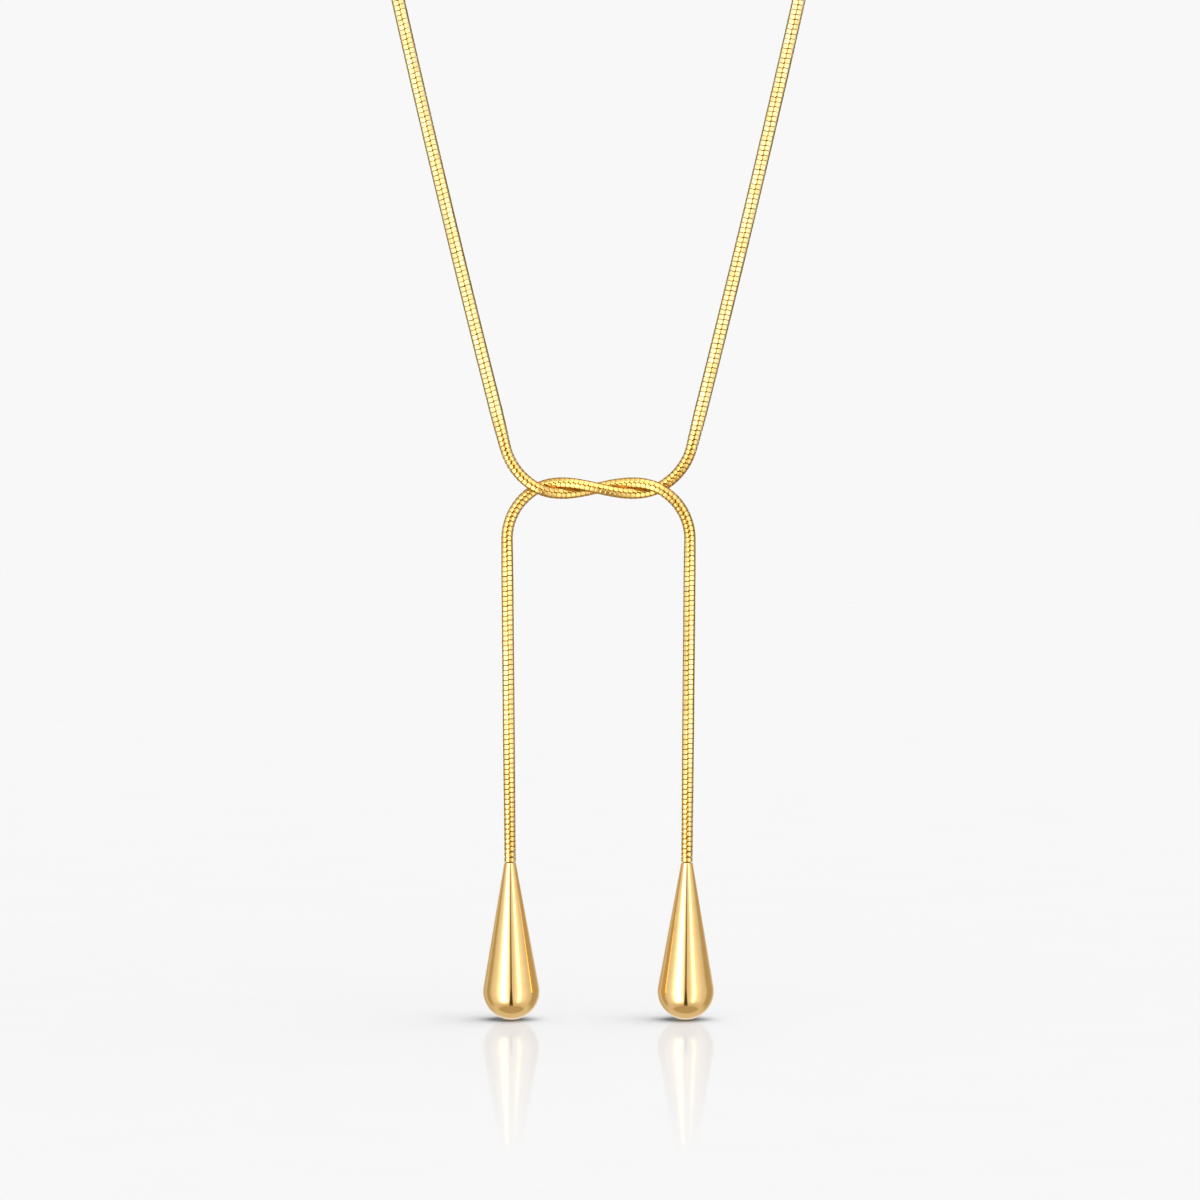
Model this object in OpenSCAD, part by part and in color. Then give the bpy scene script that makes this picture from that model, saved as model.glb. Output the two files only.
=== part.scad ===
// Lariat necklace: one open length of snake chain, worn round the neck, whose two ends
// are wound round each other below the throat and hang down as two tails with a drop each.
// Millimetres. +Z is up and the front faces -Y. The origin is the middle of the chain at
// the nape. Left and right are as seen from the front.

/* [Chain] */
// Diameter over the links of the snake chain
chain_d = 1.9; // [1.2:0.05:3]
// Diameter of the hollow that runs inside the chain's end links
chain_bore_d = 1.0; // [0.6:0.05:1.2]

/* [Twist] */
// Distance between the outer two of the three places where the strands cross
twist_len = 19.2; // [14:0.2:32]
// Angle at which each strand leaves the twist, from level
crossing_angle = 27; // [22:1:40]
// Clear gap between the two strands where they pass
strand_gap = 0.06; // [0.02:0.01:0.4]

/* [Tails] */
// Height from the middle of the twist down to the chain's ends
tail_height = 59.8; // [30:0.1:120]
// Radius of the bend from the twist down into a tail
tail_bend_r = 9.1; // [6:0.1:16]
// Angle by which each tail leans towards the other going down
tail_lean = 0.5; // [0:0.1:2]

/* [Front V] */
// Radius of the bend from the twist up into the V
v_bend_r = 10.2; // [6:0.1:20]
// Length of each strand of the V
v_len = 140; // [80:1:220]
// Angle of the V's strands from upright, just above the twist
v_low_angle = 14.2; // [13:0.1:20]
// Angle of the V's strands from upright, at the collar
v_high_angle = 11.2; // [8:0.1:12]

/* [Neck loop] */
// Distance from the front of the V back to the nape
neck_depth = 105; // [80:1:140]
// Height of the nape above the top of the V
nape_rise = 70; // [40:1:100]
// How far the chain keeps rising before it turns back over the collar
collar_pull = 40; // [25:1:60]
// How far the chain keeps level beside the nape, which sets the loop's width
nape_pull = 80; // [50:1:100]

/* [Drops] */
// Length of a drop, without the peg that goes into the chain
drop_len = 25.2; // [15:0.1:45]
// Largest diameter of a drop, at its round end
drop_d = 9.05; // [6:0.05:14]
// How far the top of a drop stands out past the chain all round
drop_top_lip = 0.2; // [0.1:0.05:0.6]
// Radius of the rounded edge round the flat top
drop_top_round = 0.25; // [0.1:0.05:0.4]
// Length of the peg on a drop
peg_len = 3; // [1.5:0.1:6]

/* [Fits] */
// Clearance all round the peg in the chain's hollow end
peg_clearance = 0.05; // [0.02:0.01:0.15]
// Gap between the chain's end and the top of the drop
end_gap = 0.05; // [0.02:0.01:0.2]
// Spare depth of the hollow past the tip of the peg
peg_end_room = 0.2; // [0.1:0.05:0.5]

/* [Hidden] */

// Sides of the chain's tube, and how many steps each stretch of its route takes
tube_sides = 8;
bend_steps = 4;
twist_steps = 12;
v_steps = 4;
neck_steps = 15;

// Facets of the round pieces
round_facets = 72;
edge_facets = 6;
ball_facets = 30;

// Angles in degrees
quarter_turn = 90;
half_turn = 180;
whole_turn = 360;
degrees_per_radian = half_turn / PI;

// Radius at which each strand winds: the strands make one whole turn between the outer
// crossings, and the flat steps between the tube's rings still clear the other strand
twist_r = (chain_d + strand_gap) / 2 / cos(half_turn / twist_steps);
// How much the strands hurry round near the outer crossings, to leave them at crossing_angle
twist_hurry = (1 - PI * twist_r / (twist_len / 2 * tan(crossing_angle))) / 2;

// Places measured from the middle of the twist
tail_top = [
    twist_len / 2 + tail_bend_r * (1 - sin(crossing_angle)),
    -tail_bend_r * cos(crossing_angle)
];
tail_len = (tail_height + tail_top[1]) / cos(tail_lean);
tail_end_x = tail_top[0] - tail_len * sin(tail_lean);
v_start_angle = quarter_turn - v_low_angle;
v_start = [
    twist_len / 2 + v_bend_r * (sin(v_start_angle) - sin(crossing_angle)),
    v_bend_r * (cos(crossing_angle) - cos(v_start_angle))
];
v_arc_r = v_len * degrees_per_radian / (v_low_angle - v_high_angle);
v_top = [
    v_start[0] + v_arc_r * (cos(v_high_angle) - cos(v_low_angle)),
    v_start[1] + v_arc_r * (sin(v_low_angle) - sin(v_high_angle))
];

// Middle of the twist, measured from the nape
twist_place = [0, -neck_depth, -nape_rise - v_top[1]];

drop_top_r = chain_d / 2 + drop_top_lip;
peg_d = chain_bore_d - 2 * peg_clearance;
bore_depth = peg_len + peg_end_room - end_gap;

// Stretches of one strand, which goes up the left tail, through the twist, up the right of
// the V and round to the nape. Share runs along a stretch, from 0 to 1, and in the twist from
// -1 to 1. Each point is across, back and up, from the middle of the twist.

// How far back the strand stands in a bend, between the crossing and the end of the bend
function set_back(share) = twist_r * (1 + cos(half_turn * share)) / 2;

function tail_bend_point(share) =
    let (angle = crossing_angle + share * (quarter_turn - crossing_angle))
    [
        -twist_len / 2 - tail_bend_r * (sin(angle) - sin(crossing_angle)),
        set_back(share),
        -tail_bend_r * (cos(crossing_angle) - cos(angle))
    ];

function twist_point(share) =
    [
        twist_len / 2 * share * (1 + twist_hurry * (1 - share * share)),
        -twist_r * cos(half_turn * share),
        -twist_r * sin(half_turn * share)
    ];

function v_bend_point(share) =
    let (angle = crossing_angle + share * (v_start_angle - crossing_angle))
    [
        twist_len / 2 + v_bend_r * (sin(angle) - sin(crossing_angle)),
        set_back(share),
        v_bend_r * (cos(crossing_angle) - cos(angle))
    ];

function v_point(share) =
    let (angle = v_low_angle + share * (v_high_angle - v_low_angle))
    [
        v_start[0] + v_arc_r * (cos(angle) - cos(v_low_angle)),
        0,
        v_start[1] + v_arc_r * (sin(v_low_angle) - sin(angle))
    ];

// Smooth curve from the top of the V, over the collar and round to the nape
function neck_point(share) =
    let (
        start = [v_top[0], 0, v_top[1]],
        pull = start + collar_pull * [sin(v_high_angle), 0, cos(v_high_angle)],
        end = -twist_place,
        end_pull = end + [nape_pull, 0, 0],
        rest = 1 - share
    )
    start * pow(rest, 3) + pull * 3 * rest * rest * share
        + end_pull * 3 * rest * share * share + end * pow(share, 3);

// One strand's front, from its drop to the top of the V, and its way round to the nape
front = concat(
    [[-tail_end_x, 0, -tail_height]],
    [for (i = [0:bend_steps - 1]) tail_bend_point(1 - i / bend_steps)],
    [for (i = [0:twist_steps - 1]) twist_point(2 * i / twist_steps - 1)],
    [for (i = [0:bend_steps - 1]) v_bend_point(i / bend_steps)],
    [for (i = [0:v_steps - 1]) v_point(i / v_steps)]
);
collar = [for (i = [0:neck_steps - 1]) neck_point(i / neck_steps)];

// The other strand's front is this one turned half round the upright line through the
// twist, and its collar is the mirror image, both run back from the nape to the drop.
route = [
    for (p = concat(
        front,
        collar,
        [neck_point(1)],
        [for (i = [neck_steps - 1:-1:0]) [-collar[i][0], collar[i][1], collar[i][2]]],
        [for (i = [len(front) - 1:-1:0]) [-front[i][0], -front[i][1], front[i][2]]]
    )) p + twist_place
];

// Direction of the route at a point, and a ring of the tube's corners round it. One corner
// points away from the upright line through the middle of the neck.
function unit(v) = v / norm(v);

function heading(i) =
    i == 0 ? unit(route[1] - route[0])
    : i == len(route) - 1 ? unit(route[i] - route[i - 1])
    : unit(unit(route[i + 1] - route[i]) + unit(route[i] - route[i - 1]));

function ring(i) =
    let (
        ahead = heading(i),
        outward = [route[i][0], route[i][1] + neck_depth / 2, 0],
        side = unit(cross(ahead, outward)),
        out = cross(side, ahead)
    )
    [
        for (k = [0:tube_sides - 1])
            let (turn = whole_turn * k / tube_sides)
            route[i] + chain_d / 2 * (cos(turn) * out + sin(turn) * side)
    ];

module chain_tube() {
    rings = len(route);
    corners = [for (i = [0:rings - 1]) each ring(i)];
    walls = [
        for (i = [0:rings - 2], k = [0:tube_sides - 1])
            let (
                here = i * tube_sides,
                next = (k + 1) % tube_sides
            )
            each [
                [here + k, here + tube_sides + k, here + tube_sides + next],
                [here + k, here + tube_sides + next, here + next]
            ]
    ];
    first_end = [for (k = [0:tube_sides - 1]) k];
    last_end = [for (k = [0:tube_sides - 1]) rings * tube_sides - 1 - k];
    polyhedron(points = corners, faces = concat(walls, [first_end, last_end]));
}

// Puts its children at the end of a tail, with +Z up along the tail; side is -1 left, 1 right
module at_tail_end(side) {
    translate(twist_place + [side * tail_end_x, 0, -tail_height])
        rotate([0, side * tail_lean, 0])
        children();
}

module end_bore() {
    cut_past = 1;
    translate([0, 0, -cut_past])
        cylinder(d = chain_bore_d, h = bore_depth + cut_past, $fn = round_facets);
}

module chain() {
    color("goldenrod") difference() {
        chain_tube();
        at_tail_end(-1) end_bore();
        at_tail_end(1) end_bore();
    }
}

// Half outline of a drop hanging below the origin: peg, flat top, rounded edge and a
// straight side that runs smoothly into the ball of the round end
module drop_outline() {
    ball_r = drop_d / 2;
    ball_z = ball_r - drop_len;
    edge_centre = [drop_top_r - drop_top_round, -drop_top_round];
    centres_apart = norm([edge_centre[0], edge_centre[1] - ball_z]);
    centres_lean = atan(edge_centre[0] / (edge_centre[1] - ball_z));
    side_angle = asin((ball_r - drop_top_round) / centres_apart) - centres_lean;
    edge_arc = [
        for (i = [0:edge_facets])
            let (angle = quarter_turn + i / edge_facets * (side_angle - quarter_turn))
            edge_centre + drop_top_round * [cos(angle), sin(angle)]
    ];
    ball_arc = [
        for (i = [0:ball_facets])
            let (angle = side_angle - i / ball_facets * (quarter_turn + side_angle))
            [ball_r * cos(angle), ball_z + ball_r * sin(angle)]
    ];
    peg = [[0, peg_len], [peg_d / 2, peg_len], [peg_d / 2, 0]];
    polygon(concat(peg, edge_arc, ball_arc));
}

module drop(side) {
    color("gold")
        at_tail_end(side)
        translate([0, 0, -end_gap])
        rotate_extrude($fn = round_facets)
        drop_outline();
}

module left_drop() {
    drop(-1);
}

module right_drop() {
    drop(1);
}

chain();
left_drop();
right_drop();
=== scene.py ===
from math import asin, atan, cos, hypot, pi, radians, sin, tan

import bpy
import numpy as np
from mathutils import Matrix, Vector


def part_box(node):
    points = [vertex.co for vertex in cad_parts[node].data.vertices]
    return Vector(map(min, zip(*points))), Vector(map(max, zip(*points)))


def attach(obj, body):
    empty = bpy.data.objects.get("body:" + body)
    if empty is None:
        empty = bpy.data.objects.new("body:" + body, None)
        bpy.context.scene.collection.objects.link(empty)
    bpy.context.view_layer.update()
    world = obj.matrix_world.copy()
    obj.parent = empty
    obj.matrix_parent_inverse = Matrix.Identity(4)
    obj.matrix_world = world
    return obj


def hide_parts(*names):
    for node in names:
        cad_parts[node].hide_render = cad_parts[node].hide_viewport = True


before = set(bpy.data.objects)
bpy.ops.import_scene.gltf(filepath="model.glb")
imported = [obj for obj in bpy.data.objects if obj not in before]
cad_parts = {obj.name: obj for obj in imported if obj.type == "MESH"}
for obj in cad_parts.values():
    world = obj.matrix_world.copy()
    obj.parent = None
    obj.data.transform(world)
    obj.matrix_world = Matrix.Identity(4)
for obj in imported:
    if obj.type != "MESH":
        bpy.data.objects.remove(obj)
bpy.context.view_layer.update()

# Lariat necklace: one open length of snake chain whose two strands wind round each other
# below the throat and hang down as two tails, each with a polished teardrop on its end.
# The CAD model has the chain as a plain tube. Here it is made link by link on the same route,
# but wound closer in the twist.
# Metres. +Z is up, the front faces -Y, and the origin is the middle of the chain at the nape.

MM = 0.001

# Sizes of the route, the same as the CAD model's
TWIST_LEN = 19.2 * MM
CROSSING_ANGLE = radians(27)
TAIL_HEIGHT = 59.8 * MM
TAIL_BEND_R = 9.1 * MM
TAIL_LEAN = radians(0.5)
V_BEND_R = 10.2 * MM
V_LEN = 140 * MM
V_LOW_ANGLE = radians(14.2)
V_HIGH_ANGLE = radians(11.2)
NECK_DEPTH = 105 * MM
NAPE_RISE = 70 * MM
COLLAR_PULL = 40 * MM
NAPE_PULL = 80 * MM

# Sizes of a drop, the same as the CAD model's but for the top, which runs on from the chain with
# almost no shoulder
DROP_LEN = 25.2 * MM
DROP_R = 4.525 * MM
DROP_TOP_R = 0.93 * MM
DROP_TOP_ROUND = 0.12 * MM
PEG_R = 0.45 * MM
PEG_LEN = 3 * MM
END_GAP = 0.05 * MM

# How far each strand winds from the line through the middle of the twist. This is closer than
# in the CAD model, and the links of the two strands run a little into each other there.
TWIST_R = 0.84 * MM

# Spacing of the links along the chain
LINK_PITCH = 0.79 * MM

# How finely the route is worked out: points in each curve, and then the step between points
CURVE_POINTS = 1500
ROUTE_STEP = 0.05 * MM

# Length at each end of the neck's stretch over which the seam turns from the front outwards
NECK_EASE = 0.06

# How deep below a plate's face the polish still reaches and the painted shade begins, and how much
# deeper it is fully unpolished and in full painted shade
POLISH_AND_SHADE_REACH = 0.015 * MM
POLISH_AND_SHADE_FADE = 0.12 * MM

# Fineness of the drops: points round the top's edge and the ball, steps down the side, and
# facets round
EDGE_POINTS = 9
BALL_POINTS = 65
SIDE_STEPS = 24
DROP_SIDES = 144

# Chamfers at the peg's tip and foot, and the inner ring of the flat top as a share of its radius
PEG_TIP_EDGE = 0.08 * MM
PEG_FOOT_EDGE = 0.03 * MM
TOP_INNER_RING = 0.6

# The photograph's scale at the front of the necklace, and its width in pixels
PIXEL = 0.16 * MM
FRAME_PIXELS = 1200

rng = np.random.default_rng(7)


def points(across, back, up):
    """Points as one row each, with single values repeated. The route's are measured from the
    middle of the twist."""
    return np.stack(np.broadcast_arrays(across, back, up), axis=1)


def turn(point_rows, across, back):
    """The same points with the signs of across and back changed, in the other order."""
    return (point_rows * [across, back, 1])[::-1]


V_START_ANGLE = pi / 2 - V_LOW_ANGLE
V_ARC_R = V_LEN / (V_LOW_ANGLE - V_HIGH_ANGLE)
tail_top = (
    TWIST_LEN / 2 + TAIL_BEND_R * (1 - sin(CROSSING_ANGLE)),
    -TAIL_BEND_R * cos(CROSSING_ANGLE),
)
tail_end_across = tail_top[0] - (TAIL_HEIGHT + tail_top[1]) * tan(TAIL_LEAN)
v_start = (
    TWIST_LEN / 2 + V_BEND_R * (sin(V_START_ANGLE) - sin(CROSSING_ANGLE)),
    V_BEND_R * (cos(CROSSING_ANGLE) - cos(V_START_ANGLE)),
)
v_top = (
    v_start[0] + V_ARC_R * (cos(V_HIGH_ANGLE) - cos(V_LOW_ANGLE)),
    v_start[1] + V_ARC_R * (sin(V_LOW_ANGLE) - sin(V_HIGH_ANGLE)),
)
twist_place = np.array([0, -NECK_DEPTH, -NAPE_RISE - v_top[1]])


def half_route():
    """Stretches of one strand, from the left drop up the left tail, through the twist, up the
    right of the V and round to the nape: a name and the points of each."""
    share = np.linspace(0, 1, CURVE_POINTS)
    set_back = TWIST_R * (1 + np.cos(pi * share)) / 2

    bend = CROSSING_ANGLE + share * (pi / 2 - CROSSING_ANGLE)
    tail_bend = points(
        -TWIST_LEN / 2 - TAIL_BEND_R * (np.sin(bend) - sin(CROSSING_ANGLE)),
        set_back,
        -TAIL_BEND_R * (cos(CROSSING_ANGLE) - np.cos(bend)),
    )[::-1]
    tail_low = points(np.array([-tail_end_across]), 0, -TAIL_HEIGHT)
    tail = tail_low + share[:, None] * (tail_bend[0] - tail_low)

    hurry = (1 - pi * TWIST_R / (TWIST_LEN / 2 * tan(CROSSING_ANGLE))) / 2
    wind = 2 * share - 1
    twist = points(
        TWIST_LEN / 2 * wind * (1 + hurry * (1 - wind**2)),
        -TWIST_R * np.cos(pi * wind),
        -TWIST_R * np.sin(pi * wind),
    )

    bend = CROSSING_ANGLE + share * (V_START_ANGLE - CROSSING_ANGLE)
    v_bend = points(
        TWIST_LEN / 2 + V_BEND_R * (np.sin(bend) - sin(CROSSING_ANGLE)),
        set_back,
        V_BEND_R * (cos(CROSSING_ANGLE) - np.cos(bend)),
    )
    lean = V_LOW_ANGLE + share * (V_HIGH_ANGLE - V_LOW_ANGLE)
    v_side = points(
        v_start[0] + V_ARC_R * (np.cos(lean) - cos(V_LOW_ANGLE)),
        0,
        v_start[1] + V_ARC_R * (sin(V_LOW_ANGLE) - np.sin(lean)),
    )

    start = np.array([v_top[0], 0, v_top[1]])
    pull = start + COLLAR_PULL * np.array([sin(V_HIGH_ANGLE), 0, cos(V_HIGH_ANGLE)])
    end = -twist_place
    end_pull = end + [NAPE_PULL, 0, 0]
    s, rest = share[:, None], 1 - share[:, None]
    neck = start * rest**3 + pull * 3 * rest**2 * s + end_pull * 3 * rest * s**2 + end * s**3
    return [
        ("left_tail", np.concatenate([tail, tail_bend])),
        ("twist_rising_strand", twist),
        ("right_v", np.concatenate([v_bend, v_side])),
        ("right_neck", neck),
    ]


def whole_route():
    """The chain's route as evenly spaced points, and where each named stretch of it ends."""
    (_, tail), (_, twist), (_, v_side), (_, neck) = half_route()
    stretches = half_route() + [
        ("left_neck", turn(neck, -1, 1)),
        ("left_v", turn(v_side, -1, -1)),
        ("twist_falling_strand", turn(twist, -1, -1)),
        ("right_tail", turn(tail, -1, -1)),
    ]
    rows, ends = [], []
    for name, stretch in stretches:
        rows.append(stretch)
        ends.append((name, sum(len(r) for r in rows) - 1))
    path = np.concatenate(rows)
    steps = np.linalg.norm(np.diff(path, axis=0), axis=1)
    along = np.concatenate([[0], np.cumsum(steps)])
    keep = np.concatenate([[True], steps > 1e-9])
    even = np.linspace(0, along[-1], int(along[-1] / ROUTE_STEP))
    path = np.stack([np.interp(even, along[keep], path[keep, i]) for i in range(3)], axis=1)
    return even, path + twist_place, [(name, along[last]) for name, last in ends]


def unit(rows):
    return rows / np.linalg.norm(rows, axis=-1, keepdims=True)


along, path, stretch_ends = whole_route()
chain_len = along[-1]
ahead = unit(np.gradient(path, axis=0))

# One seam of the links faces the viewer in front and away from the neck on the way round it
stretch_end = dict(stretch_ends)
neck_share = np.interp(
    along,
    [
        stretch_end["right_v"],
        stretch_end["right_v"] + NECK_EASE,
        stretch_end["left_neck"] - NECK_EASE,
        stretch_end["left_neck"],
    ],
    [0, 1, 1, 0],
)[:, None]
neck_share = neck_share**2 * (3 - 2 * neck_share)
from_neck = unit((path + [0, NECK_DEPTH / 2, 0]) * [1, 1, 0])
seam = (1 - neck_share) * [0, -1, 0] + neck_share * from_neck
seam = unit(seam - np.sum(seam * ahead, axis=1, keepdims=True) * ahead)
beside = np.cross(ahead, seam)


def by_stretch(place, above_drop, tail, bends, twist, rest):
    """A value at places along the chain, from its values above the drops, in the upper tails,
    in the bends below and above the twist, in the twist, and in the V and round the neck."""
    marks = [
        (0, above_drop),
        (5 * MM, above_drop),
        (20 * MM, tail),
        (stretch_end["left_tail"] - 15 * MM, tail),
        (stretch_end["left_tail"] - 9 * MM, bends),
        (stretch_end["left_tail"] - 3 * MM, bends),
        (stretch_end["left_tail"], twist),
        (stretch_end["twist_rising_strand"], twist),
        (stretch_end["twist_rising_strand"] + 3 * MM, bends),
        (stretch_end["twist_rising_strand"] + 8 * MM, bends),
        (stretch_end["twist_rising_strand"] + 14 * MM, rest),
    ]
    from_end = np.minimum(place, chain_len - place)
    return np.interp(from_end, [m[0] for m in marks], [m[1] for m in marks])


# The chain turns a little about itself along its length, so the seam wanders: degrees at
# places along it, with two slow waves added
roll_marks = [
    (0, 3),
    (15 * MM, -2),
    (stretch_end["left_tail"] - 9 * MM, -2),
    (stretch_end["left_tail"], -6),
    (stretch_end["twist_rising_strand"], -6),
    (stretch_end["twist_rising_strand"] + 9 * MM, -4),
    (stretch_end["twist_rising_strand"] + 35 * MM, -3),
    (stretch_end["twist_rising_strand"] + 62 * MM, -1),
    (stretch_end["right_v"], -3),
    (stretch_end["left_neck"], 5),
    (stretch_end["left_v"] - 62 * MM, 2),
    (stretch_end["left_v"] - 35 * MM, 1),
    (stretch_end["left_v"] - 9 * MM, 2),
    (stretch_end["left_v"], -6),
    (stretch_end["twist_falling_strand"], -6),
    (stretch_end["twist_falling_strand"] + 9 * MM, 6),
    (chain_len - 15 * MM, 6),
    (chain_len, 3),
]
roll = np.radians(
    np.interp(along, [m[0] for m in roll_marks], [m[1] for m in roll_marks])
    + 2 * np.sin(along / (13 * MM))
    + 1.5 * np.sin(along / (5.3 * MM) + 2)
)

# The camera stands far back and looks slightly down, as the photograph's did
CAMERA_AWAY = 1.6
CAMERA_RISE = radians(4)
# Sensor width, and the slightly larger figure for the lens that matches the photograph's size
SENSOR_WIDTH = 36
LENS_FIT = 36.14
picture_middle = Vector((1.5 * PIXEL, -NECK_DEPTH, twist_place[2] - 111.6 * PIXEL))
camera = bpy.data.objects.new("camera", bpy.data.cameras.new("camera"))
bpy.context.scene.collection.objects.link(camera)
camera.data.sensor_width = SENSOR_WIDTH
camera.data.lens = LENS_FIT * CAMERA_AWAY / (FRAME_PIXELS * PIXEL)
camera.location = picture_middle + CAMERA_AWAY * Vector((0, -cos(CAMERA_RISE), sin(CAMERA_RISE)))
camera.rotation_euler = (pi / 2 - CAMERA_RISE, 0, 0)
bpy.context.scene.camera = camera


def linear(colour):
    """An sRGB hex colour as linear RGBA."""
    parts = [int(colour[i : i + 2], 16) / 255 for i in (0, 2, 4)]
    return [c / 12.92 if c <= 0.04045 else ((c + 0.055) / 1.055) ** 2.4 for c in parts] + [1]


def add(tree, kind, settings=(), links=(), stops=()):
    """Adds a node. Settings are its properties, or an input's value by number or name, links
    are the outputs that its inputs take, and stops are a ramp's colours by position."""
    node = tree.nodes.new(kind)
    for name, value in dict(settings).items():
        if isinstance(name, str) and hasattr(node, name):
            setattr(node, name, value)
        else:
            node.inputs[name].default_value = value
    for name, output in dict(links).items():
        tree.links.new(output, node.inputs[name])
    for i, (position, colour) in enumerate(stops):
        ramp = node.color_ramp.elements
        stop = ramp[i] if i < 2 else ramp.new(position)
        stop.position = position
        stop.color = colour
    return node


def new_material(name):
    """An empty node material and its output node."""
    material = bpy.data.materials.new(name)
    material.use_nodes = True
    material.node_tree.nodes.clear()
    return material, material.node_tree, add(material.node_tree, "ShaderNodeOutputMaterial")


def plated_links():
    """Stamped brass links, gold plated after the chain was drawn together and tumble polished.
    The outer faces are bright satin with fine wear. The gaps, which the polish doesn't reach, are
    rougher, and their duller, browner colour is painted shade. The deeper gold above the drops, in
    the bends and the twist, and in the seams is painted shade too, and faces seen at a glancing
    angle stay golden."""
    material, tree, out = new_material("gold_plated_tumbled_brass_links")
    painted_shade_and_dullness = add(tree, "ShaderNodeAttribute", {"attribute_name": "painted_shade_and_dullness"})
    place = add(tree, "ShaderNodeTexCoord")
    island = add(tree, "ShaderNodeNewGeometry")
    # Soft unevenness in the plating, a few links long
    patches = add(
        tree, "ShaderNodeTexNoise", {"Scale": 1 / (2.2 * MM), "Detail": 2.0},
        {"Vector": place.outputs["Object"]},
    )
    # Tumbling marks, about 0.05 mm
    marks = add(
        tree, "ShaderNodeTexNoise", {"Scale": 1 / (0.05 * MM), "Detail": 3.0},
        {"Vector": place.outputs["Object"]},
    )
    tone = add(
        tree, "ShaderNodeMath", {"operation": "MULTIPLY_ADD", 1: 0.6},
        {0: island.outputs["Random Per Island"], 2: patches.outputs["Fac"]},
    )
    face = add(
        tree, "ShaderNodeValToRGB", {}, {"Fac": tone.outputs[0]},
        stops=[(0.3, linear("F3D389")), (1.1, linear("F9E1A4"))],
    )
    # Painted shade: a deeper gold in the seams, and above the drops, in the tails, bends and twist
    painted_gold_shade = add(tree, "ShaderNodeAttribute", {"attribute_name": "painted_gold_shade"})
    deeper = add(
        tree, "ShaderNodeMix", {"data_type": "RGBA", 7: linear("F0C876")},
        {0: painted_gold_shade.outputs["Fac"], 6: face.outputs["Color"]},
    )
    # Painted shade: the browner colour of the gaps, seams, plate edges and downward column in the
    # bends
    gap = add(
        tree, "ShaderNodeMix", {"data_type": "RGBA", 6: linear("96783A"), 7: linear("CA983C")},
        {0: painted_gold_shade.outputs["Fac"]},
    )
    colour = add(
        tree, "ShaderNodeMix", {"data_type": "RGBA"},
        {0: painted_shade_and_dullness.outputs["Fac"], 6: deeper.outputs[2], 7: gap.outputs[2]},
    )
    rough = add(
        tree, "ShaderNodeMapRange", {"To Min": 0.18, "To Max": 0.32},
        {"Value": marks.outputs["Fac"]},
    )
    rougher = add(
        tree, "ShaderNodeMath", {"operation": "MULTIPLY_ADD", 1: 0.2},
        {0: painted_shade_and_dullness.outputs["Fac"], 2: rough.outputs["Result"]},
    )
    bump = add(
        tree, "ShaderNodeBump", {"Strength": 0.25, "Distance": 0.004 * MM},
        {"Height": marks.outputs["Fac"]},
    )
    metal = add(
        tree, "ShaderNodeBsdfPrincipled",
        {"Metallic": 1.0, "Specular Tint": linear("D8B46E")},
        {
            "Base Color": colour.outputs[2],
            "Roughness": rougher.outputs[0],
            "Normal": bump.outputs["Normal"],
        },
    )
    tree.links.new(metal.outputs[0], out.inputs["Surface"])
    return material


def shaded_inner_folds():
    """The links' inner folds, seen through the gaps: plated brass whose dark brown colour is
    painted shade, mottled a little."""
    material, tree, out = new_material("shade_painted_brass_folds")
    place = add(tree, "ShaderNodeTexCoord")
    fold_mottle = add(
        tree, "ShaderNodeTexNoise", {"Scale": 1 / (0.3 * MM), "Detail": 3.0},
        {"Vector": place.outputs["Object"]},
    )
    colour = add(
        tree, "ShaderNodeValToRGB", {}, {"Fac": fold_mottle.outputs["Fac"]},
        stops=[(0.35, linear("6A4814")), (0.65, linear("966E2A"))],
    )
    rough = add(
        tree, "ShaderNodeMapRange", {"To Min": 0.5, "To Max": 0.7},
        {"Value": fold_mottle.outputs["Fac"]},
    )
    bump = add(
        tree, "ShaderNodeBump", {"Strength": 0.3, "Distance": 0.01 * MM},
        {"Height": fold_mottle.outputs["Fac"]},
    )
    metal = add(
        tree, "ShaderNodeBsdfPrincipled", {"Metallic": 0.8},
        {
            "Base Color": colour.outputs["Color"],
            "Roughness": rough.outputs["Result"],
            "Normal": bump.outputs["Normal"],
        },
    )
    tree.links.new(metal.outputs[0], out.inputs["Surface"])
    return material


def polished_drop():
    """Cast brass, mirror polished and gold plated: sharp reflections of the light tent, with
    the slightest waviness left by the buffing wheel."""
    material, tree, out = new_material("mirror_polished_gold_plated_brass")
    place = add(tree, "ShaderNodeTexCoord")
    haze = add(
        tree, "ShaderNodeTexNoise", {"Scale": 1 / (1.5 * MM), "Detail": 3.0},
        {"Vector": place.outputs["Object"]},
    )
    colour = add(
        tree, "ShaderNodeValToRGB", {}, {"Fac": haze.outputs["Fac"]},
        stops=[(0.3, linear("F7CE89")), (0.7, linear("FAD492"))],
    )
    rough = add(
        tree, "ShaderNodeMapRange", {"To Min": 0.04, "To Max": 0.08},
        {"Value": haze.outputs["Fac"]},
    )
    waves = add(
        tree, "ShaderNodeTexNoise", {"Scale": 1 / (3 * MM), "Detail": 1.0},
        {"Vector": place.outputs["Object"]},
    )
    bump = add(
        tree, "ShaderNodeBump", {"Strength": 0.3, "Distance": 0.004 * MM},
        {"Height": waves.outputs["Fac"]},
    )
    metal = add(
        tree, "ShaderNodeBsdfPrincipled", {"Metallic": 1.0},
        {
            "Base Color": colour.outputs["Color"],
            "Roughness": rough.outputs["Result"],
            "Normal": bump.outputs["Normal"],
        },
    )
    tree.links.new(metal.outputs[0], out.inputs["Surface"])
    return material


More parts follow.
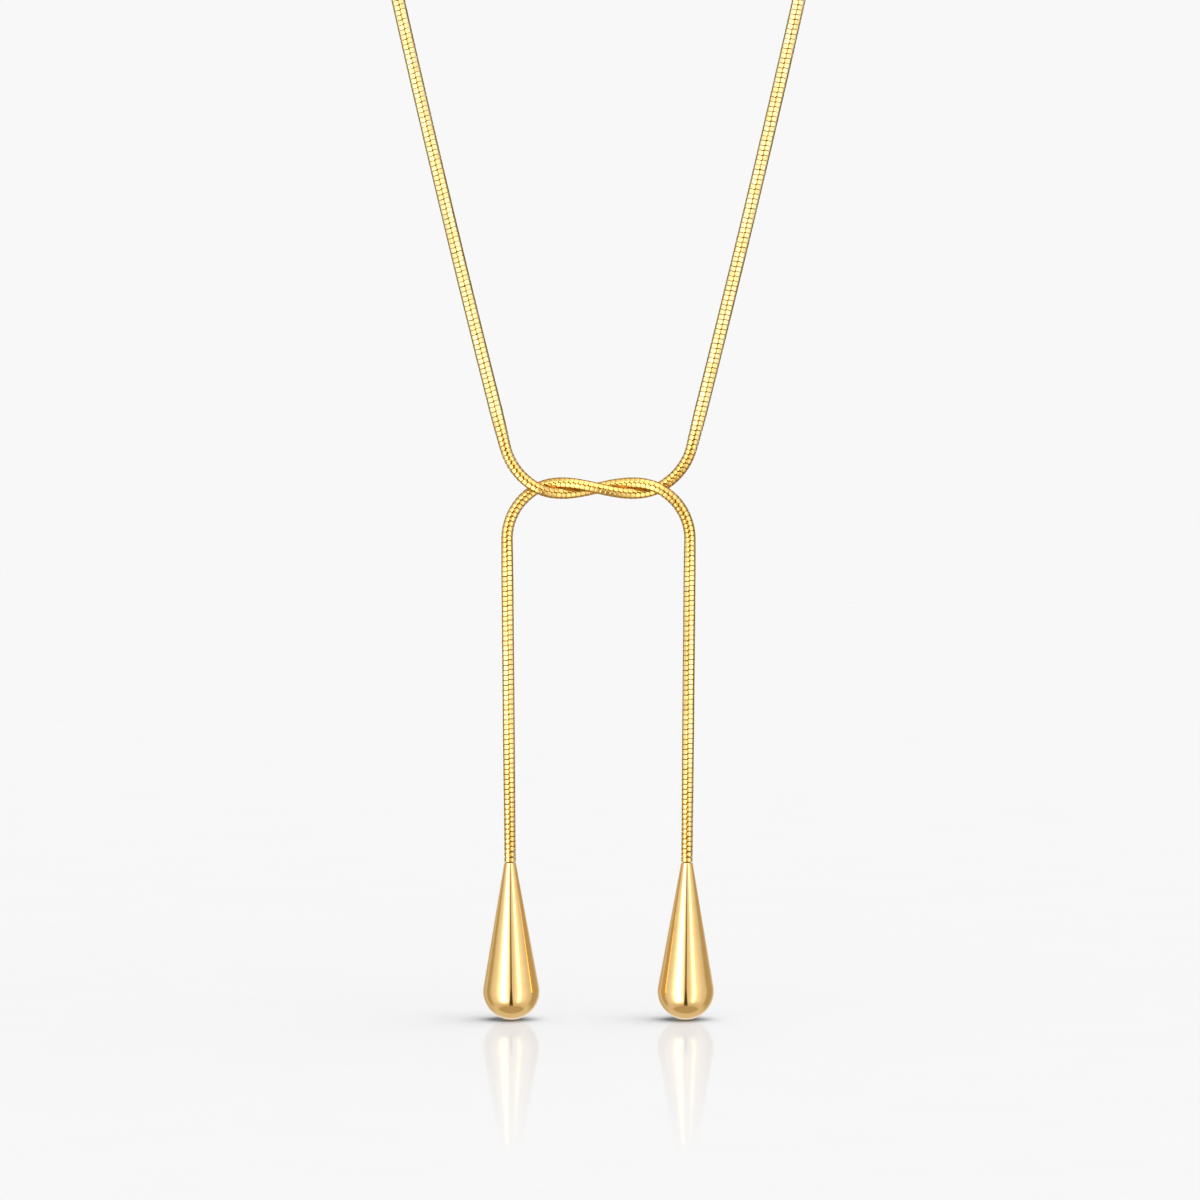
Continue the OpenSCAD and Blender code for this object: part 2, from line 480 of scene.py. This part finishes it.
def new_piece(name, corners, faces, material):
    """An object of smooth-shaded faces, linked into the scene."""
    mesh = bpy.data.meshes.new(name)
    mesh.from_pydata(corners.tolist(), [], faces)
    mesh.shade_smooth()
    mesh.materials.append(material)
    piece = bpy.data.objects.new(name, mesh)
    bpy.context.scene.collection.objects.link(piece)
    return piece


def on_necklace(piece, node):
    """The piece rides with the necklace and stands for that CAD node."""
    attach(piece, "root")
    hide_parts(node)


# A quarter of the chain's six-sided section, from the front seam round to the middle of the flat
# side: places towards the front and beside it, as shares of half the chain's width, how deep the
# seams' grooves are there, and how far the plate has stepped up (or down) from the seam.
QUARTER = [
    (1.0, 0, 1, 0), (0.97, 0.06, 0.7, 0.8), (0.9, 0.2, 0.12, 1), (0.82, 0.36, 0, 1),
    (0.65, 0.7, 0, 1), (0.59, 0.82, 0.08, 1), (0.47, 0.93, 0.4, 1), (0.37, 0.98, 0.75, 0.8),
    (0.31, 1, 1, 0), (0.25, 1, 0.6, -0.8), (0.12, 1, 0, -1),
]
right_side = QUARTER + [(-front, by, *rest) for front, by, *rest in QUARTER[::-1]]
left_side = [(front, -by, groove, -step) for front, by, groove, step in right_side[-2:0:-1]]
SECTION = np.array(right_side + left_side)

# Section through a link's band: places along the chain, as a share of half the band's height,
# and depths below the plate's face of a flat band and of a rounded one. The last two are the
# hidden inner side.
BAND_PLACES = np.array([-1, -0.91, -0.6, 0.6, 0.91, 1, 0.85, -0.85])
FLAT_BAND = np.array([0.08, 0.015, 0, 0, 0.015, 0.08, 0.3, 0.3]) * MM
ROUND_BAND = np.array([0.13, 0.06, 0.012, 0.012, 0.06, 0.13, 0.32, 0.32]) * MM


def link_mesh(centres):
    """Corners, faces and two painted shade values of a run of links: rings of stamped band, whose
    plates stand higher in one column than in the next.
    courses of brick, nearly as much in the twist, and smaller elsewhere."""
    to_axis = np.hypot(SECTION[:, 0], SECTION[:, 1])[None, :, None]
    way = np.arctan2(SECTION[:, 1], SECTION[:, 0])[None, :, None]
    side = SECTION[None, :, 3, None]

    links = len(centres)
    size = (links, len(SECTION), len(BAND_PLACES))

    def at_link(*values):
        return by_stretch(centres, *values)[:, None, None]

    def own(spread):
        return rng.normal(0, spread, (links, 1, 1))

    groove = SECTION[None, :, 2, None] ** at_link(0.6, 1, 0.8, 1, 1)
    # The plates' outer edges, by the side seams, have almost no rounding of their own
    rim = np.clip((np.abs(SECTION[None, :, 1, None]) - 0.75) / 0.14, 0, 1)
    radius = at_link(0.9 * MM, 0.945 * MM, 0.9 * MM, 0.87 * MM, 1.05 * MM) + own(0.004 * MM)
    # The last links level out, to sit flat on the drops
    from_end = np.minimum(centres, chain_len - centres)[:, None, None]
    level_out = np.clip((from_end - LINK_PITCH / 2) / (2 * LINK_PITCH), 0, 1)
    step = at_link(0.5, 0.2, 0.35, 0.45, 0.16) * LINK_PITCH * level_out
    seam_depth = at_link(0.14 * MM, 0.06 * MM, 0.14 * MM, 0.07 * MM, 0.05 * MM)
    rounding = at_link(0.6, 0.35, 0.2, 0.1, 0.05)
    edges = at_link(0.7, 0.65, 0.6, 0.22, 0.6) * (1 - 0.7 * rim)
    height = at_link(0.758 * MM, 0.76 * MM, 0.785 * MM, 0.82 * MM, 0.77 * MM)
    narrowing = at_link(0.3, 0.14, 0.48, 0.46, 0.13) * np.sqrt(groove)

    tilt_way = rng.uniform(0, 2 * pi, (links, 1, 1))
    middle = (
        centres[:, None, None]
        + side * step / 2
        + own(radians(0.8)) * radius * np.cos(way - tilt_way)
    )
    place = middle + height / 2 * (1 - narrowing) * BAND_PLACES
    place = np.clip(place, 0, chain_len)
    depth = seam_depth * groove + edges * (FLAT_BAND + rounding * (ROUND_BAND - FLAT_BAND))
    out = radius * to_axis - depth
    angle = way + np.interp(place, along, roll) + own(radians(1.2))

    def at_place(rows):
        return np.stack([np.interp(place, along, rows[:, i]) for i in range(3)], axis=-1)

    frontwards = np.cos(angle)[..., None] * at_place(seam)
    outwards = frontwards + np.sin(angle)[..., None] * at_place(beside)
    corners = at_place(path) + out[..., None] * outwards
    # Painted shade, darker and browner, in the seams' grooves and in the gaps below a plate's
    # face, where the links are also rougher
    dull_and_shade = groove ** at_link(1.3, 1, 0.5, 1.1, 0.9) + (depth - POLISH_AND_SHADE_REACH) / POLISH_AND_SHADE_FADE
    # Painted shade along the plates' outer edges by the side seams
    dull_and_shade += at_link(0.2, 0.5, 0.6, 0.4, 1) * rim
    # In the bends the column of plates that faces downwards gets painted shade, darker and a
    # little rougher, as in the photograph
    downwards = np.clip(-3 * outwards[..., 2], 0, 1)
    dull_and_shade += at_link(0, 0, 0.5, 0.1, 0) * downwards
    painted_shade_and_dullness = np.broadcast_to(np.clip(dull_and_shade, 0, 1), size)
    # Painted shade: the seams in the middle of a side are painted a deeper gold than those at its
    # edges, and so are the links above the drops, in the tails, the bends and the twist
    painted_gold_shade = at_link(0.7, 0.3, 0.8, 1, 0) + 0.8 * groove * (1 - rim)
    painted_gold_shade = np.broadcast_to(np.clip(painted_gold_shade, 0, 1), size)

    number = np.arange(links * size[1] * size[2]).reshape(size)
    next_round = np.roll(number, -1, axis=1)
    faces = np.stack(
        [number, next_round, np.roll(next_round, -1, axis=2), np.roll(number, -1, axis=2)],
        axis=-1,
    )
    shades = {"painted_shade_and_dullness": painted_shade_and_dullness.reshape(-1), "painted_gold_shade": painted_gold_shade.reshape(-1)}
    return corners.reshape(-1, 3), faces.reshape(-1, 4).tolist(), shades


links_metal = plated_links()
first_centre = LINK_PITCH / 2
link_count = round((chain_len - 2 * first_centre) / LINK_PITCH) + 1
link_centres = np.linspace(first_centre, chain_len - first_centre, link_count)
begins = 0
for stretch, ends in stretch_ends:
    run = link_centres[(link_centres >= begins) & (link_centres < ends)]
    corners, faces, shades = link_mesh(run)
    piece = new_piece("chain_" + stretch, corners, faces, links_metal)
    for shade, values in shades.items():
        piece.data.attributes.new(shade, "FLOAT", "POINT").data.foreach_set("value", values)
    on_necklace(piece, "chain")
    begins = ends


# The links' inner folds, which close the gaps between the plates, drawn as one thin-walled tube in
# dark painted shade
FOLD_OUTER_R = 0.62 * MM
FOLD_INNER_R = 0.52 * MM
FOLD_SIDES = 10
# The tube has a ring at every eighth point of the route
FOLD_RING_STEP = 8


def folds_mesh():
    """Corners and faces of the tube of inner folds, closed at both ends."""
    rows = range(0, len(path), FOLD_RING_STEP)
    angles = 2 * pi * np.arange(FOLD_SIDES)[:, None] / FOLD_SIDES
    ways = np.cos(angles) * seam[rows][:, None] + np.sin(angles) * beside[rows][:, None]
    rings = [path[rows][:, None] + r * ways for r in (FOLD_OUTER_R, FOLD_INNER_R)]
    number = np.arange(2 * len(rows) * FOLD_SIDES).reshape(2, len(rows), FOLD_SIDES)
    next_round = np.roll(number, -1, axis=2)
    outer = [number[0, :-1], next_round[0, :-1], next_round[0, 1:], number[0, 1:]]
    inner = [number[1, :-1], number[1, 1:], next_round[1, 1:], next_round[1, :-1]]
    first = [number[0, :1], number[1, :1], next_round[1, :1], next_round[0, :1]]
    last = [number[0, -1:], next_round[0, -1:], next_round[1, -1:], number[1, -1:]]
    faces = [np.stack(part, axis=-1).reshape(-1, 4) for part in (outer, inner, first, last)]
    return np.concatenate([r.reshape(-1, 3) for r in rings]), np.concatenate(faces).tolist()


on_necklace(
    new_piece("chain_inner_folds", *folds_mesh(), shaded_inner_folds()), "chain"
)


def drop_outline():
    """Radius and height of points down a drop from the tip of its peg: the peg, the flat top,
    its rounded edge, and a straight side that runs smoothly into the ball."""
    ball_up = DROP_R - DROP_LEN
    edge = (DROP_TOP_R - DROP_TOP_ROUND, -DROP_TOP_ROUND)
    apart = hypot(edge[0], edge[1] - ball_up)
    side_angle = asin((DROP_R - DROP_TOP_ROUND) / apart) - atan(edge[0] / (edge[1] - ball_up))
    edge_angles = np.linspace(pi / 2, side_angle, EDGE_POINTS)
    ball_angles = np.linspace(side_angle, -pi / 2, BALL_POINTS)
    edge_arc = [
        (edge[0] + DROP_TOP_ROUND * cos(a), edge[1] + DROP_TOP_ROUND * sin(a))
        for a in edge_angles
    ]
    ball_arc = [(DROP_R * cos(a), ball_up + DROP_R * sin(a)) for a in ball_angles]
    (x0, z0), (x1, z1) = edge_arc[-1], ball_arc[0]
    side = [
        (x0 + (x1 - x0) * i / SIDE_STEPS, z0 + (z1 - z0) * i / SIDE_STEPS)
        for i in range(1, SIDE_STEPS)
    ]
    peg_tip = [
        (0, PEG_LEN),
        (PEG_R - PEG_TIP_EDGE, PEG_LEN),
        (PEG_R, PEG_LEN - PEG_TIP_EDGE),
    ]
    peg_foot = [
        (PEG_R, PEG_FOOT_EDGE),
        (PEG_R + PEG_FOOT_EDGE, 0),
        (DROP_TOP_R * TOP_INNER_RING, 0),
    ]
    return peg_tip + peg_foot + edge_arc + side + ball_arc


def drop_mesh(end, lean):
    """Corners and faces of a drop on the end of a tail, turned about its own axis."""
    outline = np.array(drop_outline())[1:-1]
    angles = 2 * pi * np.arange(DROP_SIDES) / DROP_SIDES
    rings = np.stack(
        [
            outline[:, :1] * np.cos(angles),
            outline[:, :1] * np.sin(angles),
            np.repeat(outline[:, 1:], DROP_SIDES, axis=1),
        ],
        axis=-1,
    ).reshape(-1, 3)
    poles = [[0, 0, PEG_LEN], [0, 0, -DROP_LEN]]
    corners = np.concatenate([rings, poles]) - [0, 0, END_GAP]
    turned = np.array([[cos(lean), 0, sin(lean)], [0, 1, 0], [-sin(lean), 0, cos(lean)]])
    count = len(outline)
    faces = []
    for i in range(DROP_SIDES):
        j = (i + 1) % DROP_SIDES
        faces.append((count * DROP_SIDES, i, j))
        faces += [
            (here + i, here + DROP_SIDES + i, here + DROP_SIDES + j, here + j)
            for here in range(0, (count - 1) * DROP_SIDES, DROP_SIDES)
        ]
        last = (count - 1) * DROP_SIDES
        faces.append((count * DROP_SIDES + 1, last + j, last + i))
    return corners @ turned.T + end, faces


drop_metal = polished_drop()
for name, side in (("left_drop", -1), ("right_drop", 1)):
    end = twist_place + [side * tail_end_across, 0, -TAIL_HEIGHT]
    corners, faces = drop_mesh(end, side * TAIL_LEAN)
    on_necklace(new_piece("polished_" + name, corners, faces, drop_metal), name)


def pale_floor():
    """White acrylic sheet: matt white with a faint gloss near the drops. It fades into the
    background far from the necklace, where it has no edge."""
    material, tree, out = new_material("white_acrylic_sheet")
    place = add(tree, "ShaderNodeTexCoord")
    distance = add(
        tree, "ShaderNodeVectorMath", {"operation": "LENGTH"}, {0: place.outputs["Object"]}
    )
    mottle = add(
        tree, "ShaderNodeTexNoise", {"Scale": 40.0, "Detail": 2.0},
        {"Vector": place.outputs["Object"]},
    )
    colour = add(
        tree, "ShaderNodeValToRGB", {}, {"Fac": mottle.outputs["Fac"]},
        stops=[(0.3, linear("E3E3E3")), (0.7, linear("E4E4E4"))],
    )
    matt = add(tree, "ShaderNodeBsdfDiffuse", {}, {"Color": colour.outputs["Color"]})
    gloss = add(tree, "ShaderNodeBsdfGlossy", {"Roughness": 0.05, "Color": (1, 1, 1, 1)})
    shine = add(
        tree, "ShaderNodeMapRange",
        {"From Min": 0.0, "From Max": 0.18, "To Min": 0.2, "To Max": 0.0},
        {"Value": distance.outputs["Value"]},
    )
    sheet = add(
        tree, "ShaderNodeMixShader", {},
        {0: shine.outputs["Result"], 1: matt.outputs[0], 2: gloss.outputs[0]},
    )
    fade = add(
        tree, "ShaderNodeMapRange",
        {"interpolation_type": "SMOOTHSTEP", "From Min": 0.35, "From Max": 1.3},
        {"Value": distance.outputs["Value"]},
    )
    nothing = add(tree, "ShaderNodeBsdfTransparent")
    faded = add(
        tree, "ShaderNodeMixShader", {},
        {0: fade.outputs["Result"], 1: sheet.outputs[0], 2: nothing.outputs[0]},
    )
    tree.links.new(faded.outputs[0], out.inputs["Surface"])
    return material


FLOOR_R = 1.5
FLOOR_SIDES = 96
round_floor = 2 * pi * np.arange(FLOOR_SIDES) / FLOOR_SIDES
disc = points(FLOOR_R * np.cos(round_floor), FLOOR_R * np.sin(round_floor), 0)
floor = new_piece("floor", disc, [list(range(FLOOR_SIDES))], pale_floor())
floor.location = (0, -NECK_DEPTH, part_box("left_drop")[0].z)
# The polished metal mirrors the tent's own lower half instead
floor.visible_glossy = False

# Brightness of the light tent's sides, by degrees round from the camera, to the right: a wide
# softbox on the left, a narrower one on the right, and dimmer cloth further round.
TENT = [
    (-180, 0.94), (-168, 0.9), (-150, 0.58), (-140, 0.6), (-124, 0.72), (-116, 0.52),
    (-104, 0.46), (-97, 0.6), (-90, 0.74), (-80, 0.84), (-68, 0.95), (-58, 1.3), (-50, 2.0),
    (-36, 5.0), (-26, 4.6), (-16, 2.1), (-8, 0.95), (8, 0.8), (20, 1.05), (26, 1.4),
    (33, 2.9), (37, 2.8), (46, 1.25), (60, 1.0), (74, 0.83), (88, 0.76), (102, 0.5), (130, 0.5),
    (150, 0.68), (168, 0.94), (180, 0.94),
]
TENT_TOP = max(level for _, level in TENT)

# The way to the middle of the upper softbox, in front of the necklace and above it
TOP_WAY = (0.08, -0.57, 0.82)


def light_tent():
    """The world: the tent for every ray but the camera's own, which see a plain pale wall."""
    world = bpy.data.worlds.new("light_tent")
    world.use_nodes = True
    tree = world.node_tree
    tree.nodes.clear()
    out = add(tree, "ShaderNodeOutputWorld")
    way = add(tree, "ShaderNodeTexCoord")
    parts = add(tree, "ShaderNodeSeparateXYZ", {}, {0: way.outputs["Generated"]})
    towards = add(
        tree, "ShaderNodeMath", {"operation": "MULTIPLY", 1: -1.0}, {0: parts.outputs["Y"]}
    )
    azimuth = add(
        tree, "ShaderNodeMath", {"operation": "ARCTAN2"},
        {0: parts.outputs["X"], 1: towards.outputs[0]},
    )
    turned = add(
        tree, "ShaderNodeMapRange", {"From Min": -pi, "From Max": pi},
        {"Value": azimuth.outputs[0]},
    )
    sides = add(
        tree, "ShaderNodeValToRGB", {}, {"Fac": turned.outputs["Result"]},
        stops=[(a / 360 + 0.5, [b / TENT_TOP] * 3 + [1]) for a, b in TENT],
    )
    level = add(
        tree, "ShaderNodeMath", {"operation": "MULTIPLY", 1: TENT_TOP}, {0: sides.outputs["Color"]}
    )
    # The dark gap where the lens looks in, which ends below the tent's top
    across = add(tree, "ShaderNodeMath", {"operation": "ABSOLUTE"}, {0: parts.outputs["X"]})
    wider_low = add(
        tree, "ShaderNodeMath", {"operation": "MULTIPLY_ADD", 1: 0.05},
        {0: parts.outputs["Z"], 2: across.outputs[0]},
    )
    gap = add(
        tree, "ShaderNodeMapRange",
        {"interpolation_type": "SMOOTHSTEP", "From Min": 0.045, "From Max": 0.1, "To Min": 0.9,
         "To Max": 0.0},
        {"Value": wider_low.outputs[0]},
    )
    front = add(
        tree, "ShaderNodeMapRange", {"From Max": 0.15, "To Max": 1.0},
        {"Value": towards.outputs[0]},
    )
    below = add(
        tree, "ShaderNodeMapRange",
        {"interpolation_type": "SMOOTHSTEP", "From Min": 0.2, "From Max": 0.45, "To Min": 1.0,
         "To Max": 0.0},
        {"Value": parts.outputs["Z"]},
    )
    front_gap = add(
        tree, "ShaderNodeMath", {"operation": "MULTIPLY"},
        {0: gap.outputs["Result"], 1: front.outputs["Result"]},
    )
    dark = add(
        tree, "ShaderNodeMath", {"operation": "MULTIPLY"},
        {0: front_gap.outputs[0], 1: below.outputs["Result"]},
    )
    kept = add(tree, "ShaderNodeMath", {"operation": "SUBTRACT", 0: 1.0}, {1: dark.outputs[0]})
    # The sides give way to the lower cloth, and that to the drops' shadow
    lower = add(
        tree, "ShaderNodeMapRange",
        {"interpolation_type": "SMOOTHSTEP", "From Min": -0.74, "From Max": -0.5},
        {"Value": parts.outputs["Z"]},
    )
    down = add(
        tree, "ShaderNodeMix", {2: 0.74}, {0: lower.outputs["Result"], 3: level.outputs[0]}
    )
    split = add(
        tree, "ShaderNodeMath", {"operation": "MULTIPLY"},
        {0: down.outputs[0], 1: kept.outputs[0]},
    )
    underneath = add(
        tree, "ShaderNodeMapRange",
        {"interpolation_type": "SMOOTHSTEP", "From Min": -0.87, "From Max": -0.76, "To Min": 1.0,
         "To Max": 0.0},
        {"Value": parts.outputs["Z"]},
    )
    not_behind = add(
        tree, "ShaderNodeMapRange",
        {"interpolation_type": "SMOOTHSTEP", "From Min": -0.24, "From Max": -0.04},
        {"Value": towards.outputs[0]},
    )
    shadow = add(
        tree, "ShaderNodeMath", {"operation": "MULTIPLY"},
        {0: underneath.outputs["Result"], 1: not_behind.outputs["Result"]},
    )
    shaded = add(tree, "ShaderNodeMix", {3: 0.5}, {0: shadow.outputs[0], 2: split.outputs[0]})
    # Dimmer cloth above the sides, and the upper softbox in it
    upper = add(
        tree, "ShaderNodeMapRange",
        {"interpolation_type": "SMOOTHSTEP", "From Min": 0.5, "From Max": 0.75},
        {"Value": parts.outputs["Z"]},
    )
    covered = add(
        tree, "ShaderNodeMix", {3: 0.6}, {0: upper.outputs["Result"], 2: shaded.outputs[0]}
    )
    near_top = add(
        tree, "ShaderNodeVectorMath", {"operation": "DOT_PRODUCT", 1: TOP_WAY},
        {0: way.outputs["Generated"]},
    )
    top = add(
        tree, "ShaderNodeMapRange",
        {"interpolation_type": "SMOOTHSTEP", "From Min": 0.86, "From Max": 0.96},
        {"Value": near_top.outputs["Value"]},
    )
    whole = add(
        tree, "ShaderNodeMix", {3: 2.1}, {0: top.outputs["Result"], 2: covered.outputs[0]}
    )
    # The dim parts are warm, from the gold's own light on them
    warmth = add(
        tree, "ShaderNodeValToRGB", {}, {"Fac": whole.outputs[0]},
        stops=[
            (0.15, linear("FFE8AA")), (0.5, linear("FFF0D2")), (0.7, linear("FFF8ED")),
            (0.85, linear("FFFFFF")),
        ],
    )
    tent = add(
        tree, "ShaderNodeBackground", {},
        {"Color": warmth.outputs["Color"], "Strength": whole.outputs[0]},
    )
    wall = add(tree, "ShaderNodeBackground", {"Color": linear("F8F8F8"), "Strength": 1.0})
    ray = add(tree, "ShaderNodeLightPath")
    seen = add(
        tree, "ShaderNodeMixShader", {},
        {0: ray.outputs["Is Camera Ray"], 1: tent.outputs[0], 2: wall.outputs[0]},
    )
    tree.links.new(seen.outputs[0], out.inputs["Surface"])
    return world


scene = bpy.context.scene
scene.world = light_tent()

# The overhead softbox's light on the matt floor, drawn as a sun as wide as the box looks from
# there. It makes the drops' contact shadows short and dark. The metal mirrors the tent instead,
# which in turn doesn't light the floor.
overhead = bpy.data.objects.new("overhead_softbox", bpy.data.lights.new("overhead_softbox", "SUN"))
overhead.data.angle = radians(76)
overhead.data.energy = 3.9
overhead.rotation_euler = (0, radians(12), 0)
overhead.visible_glossy = False
scene.collection.objects.link(overhead)
scene.world.cycles_visibility.diffuse = False

scene.view_settings.view_transform = "Standard"
# No coloured glow on the floor: the drops' contact shadow is grey
scene.cycles.caustics_reflective = False
